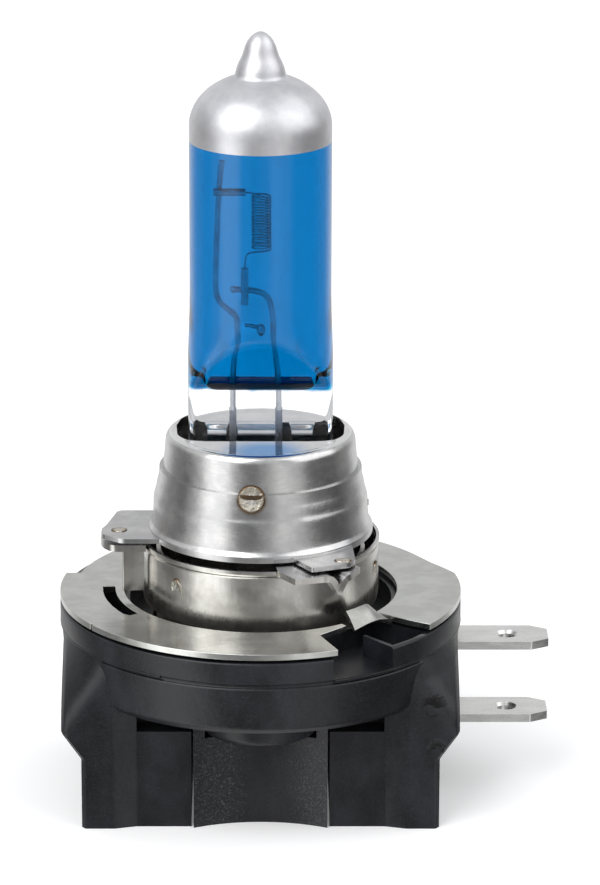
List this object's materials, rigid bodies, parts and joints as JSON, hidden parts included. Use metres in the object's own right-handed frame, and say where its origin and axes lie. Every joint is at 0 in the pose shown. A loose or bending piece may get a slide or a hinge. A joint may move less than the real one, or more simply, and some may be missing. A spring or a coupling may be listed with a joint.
{
  "type": "headlight bulb",
  "caption": "Halogen headlight bulb: coated glass capsule on a stamped steel twist-in cap, black moulded base with side blade terminals.",
  "frame": {"origin": "centre of the flat bottom of the base, on the bulb's axis", "axes": "+Z along the bulb's axis towards its tip, +X the way the blade terminals point, -Y the front"},
  "size_m": [0.0474, 0.0388, 0.075],
  "materials": {
    "coated_quartz": "clear quartz with a blue coating on the tube and a satin silver cap",
    "tungsten_wire": "drawn grey wire",
    "molybdenum_wire": "drawn grey wire, strip and tube",
    "nickel_wire": "bright drawn wire",
    "cap_steel": "drawn bright stainless steel with fine drawing lines and weld spots",
    "spring_steel": "satin rolled spring strip with sheared edges",
    "black_plastic": "black glass-filled moulded plastic, slightly glossy",
    "tinned_brass": "bright tin plate over brass"
  },
  "bodies": {
    "bulb": {"glass_envelope": "coated_quartz", "filament": "tungsten_wire", "long_support_post": "molybdenum_wire", "hooked_support_post": "molybdenum_wire", "centre_stub_wire": "molybdenum_wire", "upper_filament_clamp": "molybdenum_wire", "lower_filament_clamp": "molybdenum_wire", "left_foil": "molybdenum_wire", "right_foil": "molybdenum_wire", "left_lead_pin": "nickel_wire", "right_lead_pin": "nickel_wire", "pinch_clip": "cap_steel", "top_cup": "cap_steel", "outer_cup": "cap_steel", "locating_ring": "cap_steel", "inner_sleeve": "cap_steel", "spring_plate": "spring_steel", "base_body": "black_plastic", "contact_carrier": "black_plastic", "upper_blade_terminal": "tinned_brass", "lower_blade_terminal": "tinned_brass"},
    "front_lug": {"spring_lug_1": "spring_steel"},
    "rear_lug": {"spring_lug_2": "spring_steel"}
  },
  "joints": [
    {"name": "front_lug_flex", "type": "hinge", "parent": "bulb", "child": "front_lug", "pos_m": [0.01148, -0.00828, 0.0199], "axis": [0.8111, -0.585, 0], "range_deg": [0, 8], "stiffness_Nm_per_rad": 0.02},
    {"name": "rear_lug_flex", "type": "hinge", "parent": "bulb", "child": "rear_lug", "pos_m": [-0.01148, 0.00828, 0.0199], "axis": [-0.8111, 0.585, 0], "range_deg": [0, 8], "stiffness_Nm_per_rad": 0.02}
  ]
}
